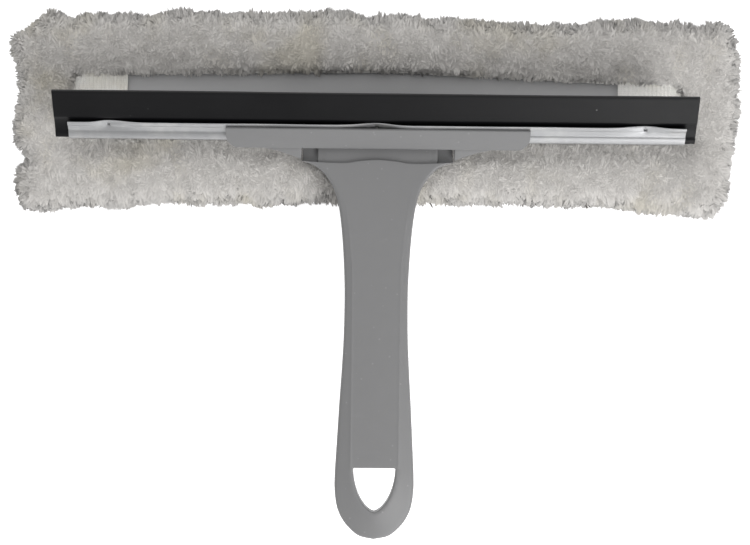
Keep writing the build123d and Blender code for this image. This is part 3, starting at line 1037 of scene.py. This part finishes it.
def comb(roots, normals, rng):
    """Which way the pile lies: out from the backing, in clumps, brushed outwards and down."""
    swirl, small = lumps_each_way(roots, 21, 9.0), lumps_each_way(roots, 24, 3.2)
    x, y = roots[:, 0], roots[:, 1]
    outward = np.zeros_like(roots)
    outward[:, 1] = np.where(y > 85, np.tanh((y - 116) / 8), np.tanh((y - 55) / 8)) * (np.abs(x) < 172)
    outward[:, 0] = np.sign(x) * np.tanh((np.abs(x) - 170) / 6) * (np.abs(x) > 155)
    near = eased(-y, -58, -42)
    lie = normals + swirl * 0.20 + small * 0.24 + rng.normal(0, 0.26, roots.shape)
    lie += outward * 0.22 + near[:, None] * np.array([0, -0.40, 0])
    return unit(lie)


# A tip is drawn towards its clump by this share of the way, and never by more than the limit.
CLUMP_SHARE, CLUMP_LIMIT = 0.5, 3.2
ROOT_DEPTH = 1.2


def grow_region(name, sizes, roots, facing, stubby, rng):
    """Grows the tufts of one region; stubby shortens and thickens them."""
    lie = comb(roots, facing, rng)
    size = sizes.pile / MM * (1 + 0.16 * lumps(roots, 31, 5.0) + rng.normal(0, 0.08, len(roots)))
    size *= stubby
    width = rng.uniform(0.40, 0.68, len(roots)) * (1.2 - 0.2 * stubby)
    bend = lumps_each_way(roots, 41, 4.5) * 0.16
    bend[:, 2] -= 0.06
    tips = roots + (lie + bend) * size[:, None]
    drawn = clump_tips(roots, lie, size, rng) - tips
    drawn *= np.clip(CLUMP_LIMIT / (np.linalg.norm(drawn, axis=1) + 1e-6), 0, 1)[:, None]
    bend += drawn * (CLUMP_SHARE / size)[:, None]
    shade = np.clip(0.5 + 0.35 * lumps(roots, 51, 2.5) + rng.normal(0, 0.22, len(roots)), 0, 1)
    matted = np.clip(lumps(roots, 52, 11.0) * 0.9 - 0.25, 0, 1)
    tuft_mesh(name, roots - facing * ROOT_DEPTH, facing, lie, bend, size, width, shade, matted)


def grow_pile(sizes, ring, pad):
    """Grows the pile from the backings and parts it into pieces by region."""
    rng = np.random.default_rng(sizes.seed)
    area_each = (sizes.spacing / MM) ** 2
    roots, normals = scattered(ring, area_each, sizes.seed + 1)
    x, y, z = roots.T
    slot_side = (z < 13.8) & (normals[:, 2] < 0.2) & (np.abs(x) < 168) & (y > 60) & (y < 112)
    shown = (normals[:, 2] > -0.35) & ~slot_side
    roots, normals = roots[shown], normals[shown]
    x, y, z = roots.T
    far, near, end = y > 104, y < 68, np.abs(x) > 160
    for name, mask in (
        ("far_fold_pile", far & ~end), ("near_fold_pile", near & ~end),
        ("left_end_pile", end & (x < 0)), ("right_end_pile", end & (x > 0)),
        ("slot_edge_pile", ~far & ~near & ~end),
    ):
        stubby = 1.0 - 0.35 * eased(-nearest(roots[mask][:, :2], slot_line())[0], -6, 0)
        grow_region(name, sizes, roots[mask], normals[mask], stubby, rng)
    roots, normals = scattered(pad, 4.4, sizes.seed + 2)
    under = normals[:, 2] < 0.5
    grow_region("back_pile", sizes, roots[under], normals[under], 0.62, rng)
    roots, normals = scattered(pad, area_each, sizes.seed + 3)
    side = (np.abs(normals[:, 2]) < 0.9) & (roots[:, 2] < 7.6)
    grow_region("back_edge_pile", sizes, roots[side], normals[side], 1.0, rng)


def turned_out(solid):
    """The same solid with its faces turned round."""
    return solid[0], [face[::-1] for face in solid[1]]


def knit_pocket(side):
    """The ribbed knit that holds one end of the board, with its flat size."""
    over = box_mm("washer_board")[1]
    opening = {-1: 130.0, 1: 124.0}[side]
    path = smooth_line([
        (opening, over[2] + 0.45), (opening + 10, over[2] + 0.5), (over[0] - 3, over[2] + 0.5),
        (over[0] + 1.2, over[2] - 0.6), (over[0] + 2.2, over[2] - 2.2), (over[0] + 5.0, over[2] - 2.7),
    ], 150)
    ahead = np.gradient(path, axis=0)
    up = unit(columns(-ahead[:, 1], ahead[:, 0]), 0.0)
    way = way_along(path)
    across = np.linspace(67.6, 104.8, 30)
    rib = 0.5 + 0.5 * np.cos(way * 2 * math.pi / 2.05)
    height = 0.35 + 0.42 * rib**0.8
    low = path - up * 0.15
    sections = []
    for y in across:
        top = path + up * (height + 0.05 * np.sin(y * 2.1))[:, None]
        wobble = 0.10 * np.sin(y * 0.35 + way * 0.8)
        x, z = np.vstack([top, low[::-1]]).T
        sections.append(columns(side * (x + np.concatenate([wobble, wobble[::-1]])), y, z))
    pocket = lofted(sections)
    if side > 0:
        pocket = turned_out(pocket)
    return pocket, (way[-1] * MM, (across[-1] - across[0]) * MM)


def back_lining():
    """The knit inside of the cover's back, under the board."""
    low, high = box_mm("cover_back_knit")
    x = np.arange(low[0], high[0], 0.42)
    z = high[2] - 0.55 + 0.5 * (0.5 + 0.5 * np.cos(x * 2 * math.pi / 2.1))
    rows = np.linspace(low[1], high[1], 22)
    return turned_out(lofted([np.vstack([columns(x, y, z), columns(x[::-1], y, low[2])]) for y in rows]))


def hem_roll(node):
    """The bound edge of the slot, with its row of stitches."""
    low, high = box_mm(node)
    middle, half = (low + high) / 2, (high - low) / 2
    far = middle[1] > 85
    tuck = 2.3 if far else -1.4

    def lies_at(x):
        sway = 0.25 * math.sin(x * 0.11) + 0.15 * math.sin(x * 0.37) + tuck - slot_shift(x) * far
        return middle[1] + sway

    turn = np.radians(np.linspace(0, 360, 18, endpoint=False))
    sections = []
    for x in np.arange(low[0] + 1.5, high[0] - 1.4, 1.5):
        pinch = 1 - 0.10 * (0.5 + 0.5 * math.cos(x * 2 * math.pi / 3.0))
        y = lies_at(x) + np.cos(turn) * half[1] * pinch
        sections.append(columns(x, y, middle[2] + np.sin(turn) * half[2] * pinch))
    rolls = [lofted(sections)]
    turn = np.radians(np.linspace(0, 360, 6, endpoint=False))
    for x in np.arange(low[0] + 3, high[0] - 3, 3.0):
        stitch = []
        for reach, thick in ((-0.95, 0.12), (-0.5, 0.26), (0.0, 0.3), (0.5, 0.26), (0.95, 0.12)):
            y = lies_at(x) + np.cos(turn) * thick
            stitch.append(columns(x + reach, y, high[2] - 0.12 + np.sin(turn) * thick))
        rolls.append(lofted(stitch))
    return joined(*rolls)


# ---------------------------------------------------------------- operators


def finish(slot):
    """The material of a slot, made once."""
    name = slot.replace("_", " ").capitalize()
    scene = bpy.context.scene
    blade, cover = scene.squeegee_blade, scene.squeegee_cover
    grey = tuple(scene.squeegee_handle.plastic)
    makers = {
        "grey_plastic": lambda: moulded_plastic(name, grey),
        # The board is the handle's grey plastic painted 1.8 times lighter: painted light standing in for
        # light falling on it.
        "board_plastic": lambda: moulded_plastic(name, tuple(c * 1.8 for c in grey), 0.5),
        "aluminium": lambda: rolled_aluminium(name, blade.aluminium),
        "rubber": lambda: wiper_rubber(name, blade.rubber),
        "knit": lambda: ribbed_knit(name, cover.knit),
        "hem": lambda: bound_hem(name, cover.knit),
        "plush": lambda: plush_pile(name, cover.plush, cover.cream),
        "screw_steel": lambda: turned_steel(name, (0.62, 0.62, 0.63)),
    }
    return bpy.data.materials.get(name) or makers[slot]()


class SQUEEGEE_OT_handle(bpy.types.Operator):
    """Builds the two shells of the handle"""

    bl_idname = "squeegee.handle"
    bl_label = "Handle"

    def execute(self, context):
        shape = HandleShape(context.scene.squeegee_handle)
        piece("front_shell", shell_front(shape), "grey_plastic", "handle", ["handle_front"], 32)
        piece("back_shell", shell_back(shape), "grey_plastic", "handle", ["handle_back"], 32)
        return {"FINISHED"}


class SQUEEGEE_OT_jaw(bpy.types.Operator):
    """Builds the jaw that grips the channel, with its tongue and stem"""

    bl_idname = "squeegee.jaw"
    bl_label = "Jaw"

    def execute(self, context):
        blade = BladeFrame(context.scene.squeegee_blade)
        solid = joined(jaw_bar(blade), jaw_cheeks(blade), jaw_tongue(), jaw_stem(blade))
        piece("jaw", solid, "grey_plastic", "head", ["blade_jaw"], 35)
        return {"FINISHED"}


class SQUEEGEE_OT_blade(bpy.types.Operator):
    """Builds the aluminium channel and the rubber in it"""

    bl_idname = "squeegee.blade"
    bl_label = "Channel and rubber"

    def execute(self, context):
        blade = BladeFrame(context.scene.squeegee_blade)
        piece("channel", channel_body(blade), "aluminium", "blade", ["blade_channel"], 42)
        piece("rubber", rubber_body(blade), "rubber", "blade", ["rubber_blade"], 30)
        return {"FINISHED"}


class SQUEEGEE_OT_board(bpy.types.Operator):
    """Builds the washer board"""

    bl_idname = "squeegee.board"
    bl_label = "Washer board"

    def execute(self, context):
        piece("board", board_body(), "board_plastic", "head", ["washer_board"], 35)
        return {"FINISHED"}


class SQUEEGEE_OT_screws(bpy.types.Operator):
    """Gives the screws their plated finish"""

    bl_idname = "squeegee.screws"
    bl_label = "Screws"

    def execute(self, context):
        for node in ("handle_screws", "board_screws"):
            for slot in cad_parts[node].material_slots:
                slot.material = finish("screw_steel")
        return {"FINISHED"}


class SQUEEGEE_OT_knit(bpy.types.Operator):
    """Builds the knit pockets, the lining and the hems of the cover"""

    bl_idname = "squeegee.knit"
    bl_label = "Knit and hems"

    def execute(self, context):
        for side, name in ((-1, "left"), (1, "right")):
            solid, flat_size = knit_pocket(side)
            pocket = piece(f"{name}_pocket", solid, "knit", "cover", [f"knit_pocket_{name}"], 60)
        lining = piece("lining", back_lining(), "knit", "cover", ["cover_back_knit"], 60)
        for name in ("far", "near"):
            piece(f"{name}_hem", hem_roll(f"slot_hem_{name}"), "hem", "cover", [f"slot_hem_{name}"], 60)
        return {"FINISHED"}


class SQUEEGEE_OT_plush(bpy.types.Operator):
    """Builds the plush of the cover: its backings and its pile"""

    bl_idname = "squeegee.plush"
    bl_label = "Plush"

    def execute(self, context):
        sizes = context.scene.squeegee_cover
        ring, pad = fold_ring(sizes), back_pad(sizes)
        folds = ["cover_far_fold", "cover_near_fold", "cover_left_end", "cover_right_end"]
        backing = piece("fold_backing", ring, "plush", "cover", folds, 60)
        under = piece("back_backing", pad, "plush", "cover", ["cover_back_pile"], 60)
        grow_pile(sizes, ring, pad)
        return {"FINISHED"}


class SQUEEGEE_OT_stage(bpy.types.Operator):
    """Sets the floor, the light and the camera"""

    bl_idname = "squeegee.stage"
    bl_label = "Stage"

    def execute(self, context):
        scene = context.scene
        studio = scene.squeegee_studio
        g = Graph("Pale floor")
        speckle = g.noise(40.0)
        pale = g.shade((0.86, 0.86, 0.86), (0.88, 0.88, 0.88), speckle, 1.0)
        constants = {"Emission Strength": 0.75, "Emission Color": (1, 1, 1, 1), "Specular IOR Level": 0.2}
        mesh = bpy.data.meshes.new("floor")
        mesh.from_pydata([(-4, -4, 0), (4, -4, 0), (4, 4, 0), (-4, 4, 0)], [], [(0, 1, 2, 3)])
        mesh.materials.append(g.finish(constants, Base_Color=pale, Roughness=0.7 + speckle * 0.1))
        floor = bpy.data.objects.new("floor", mesh)
        scene.collection.objects.link(floor)
        floor.visible_diffuse = False
        self.light("key", (0.85, -0.8, 0.85), 0.9, studio.key)
        self.light("fill", (-0.45, 0.95, 1.15), 1.6, studio.key * 0.66)
        self.light("low_right", (0.40, -1.15, 0.43), 0.4, studio.key * 0.21)
        self.light("low_left", (-1.0, -0.95, 0.50), 0.45, studio.key * 0.09)
        world = bpy.data.worlds.new("studio")
        world.use_nodes = True
        sky = world.node_tree.nodes["Background"].inputs
        sky["Color"].default_value = (1, 1, 1, 1)
        sky["Strength"].default_value = studio.sky
        scene.world = world
        scene.view_settings.view_transform = "Standard"
        scene.view_settings.look = "None"
        camera = bpy.data.cameras.new("camera")
        camera.sensor_width = 36
        camera.lens = studio.lens
        camera.clip_end = 20
        seat = bpy.data.objects.new("camera", camera)
        seat.location = (-0.00075, 0, studio.distance)
        seat.rotation_euler = (0, 0, studio.turn)
        scene.collection.objects.link(seat)
        scene.camera = seat
        return {"FINISHED"}

    @staticmethod
    def light(name, place, size, power):
        lamp = bpy.data.lights.new(name, "AREA")
        lamp.shape = "DISK"
        lamp.size = size
        lamp.energy = power
        seat = bpy.data.objects.new(name, lamp)
        seat.location = place
        seat.rotation_euler = (Vector((0, 0, 0.02)) - Vector(place)).to_track_quat("-Z", "Y").to_euler()
        bpy.context.scene.collection.objects.link(seat)


OPERATORS = (
    SQUEEGEE_OT_stage,
    SQUEEGEE_OT_handle,
    SQUEEGEE_OT_jaw,
    SQUEEGEE_OT_blade,
    SQUEEGEE_OT_board,
    SQUEEGEE_OT_screws,
    SQUEEGEE_OT_knit,
    SQUEEGEE_OT_plush,
)
GROUPS = {
    "squeegee_handle": SqueegeeHandle,
    "squeegee_blade": SqueegeeBlade,
    "squeegee_cover": SqueegeeCover,
    "squeegee_studio": SqueegeeStudio,
}


class SQUEEGEE_PT_panel(bpy.types.Panel):
    """The squeegee's sizes and its building steps"""

    bl_idname = "SQUEEGEE_PT_panel"
    bl_label = "Window Squeegee"
    bl_space_type = "VIEW_3D"
    bl_region_type = "UI"
    bl_category = "Squeegee"

    def draw(self, context):
        for name, group in GROUPS.items():
            column = self.layout.box().column()
            for prop in group.__annotations__:
                column.prop(getattr(context.scene, name), prop)
        for operator in OPERATORS:
            self.layout.operator(operator.bl_idname)


def register():
    for cls in (*GROUPS.values(), *OPERATORS, SQUEEGEE_PT_panel):
        bpy.utils.register_class(cls)
    for name, group in GROUPS.items():
        setattr(bpy.types.Scene, name, PointerProperty(type=group))


def unregister():
    for name in GROUPS:
        delattr(bpy.types.Scene, name)
    for cls in (SQUEEGEE_PT_panel, *OPERATORS, *GROUPS.values()):
        bpy.utils.unregister_class(cls)


def main():
    register()
    for operator in OPERATORS:
        group, name = operator.bl_idname.split(".")
        getattr(getattr(bpy.ops, group), name)()


if __name__ == "__main__":
    main()
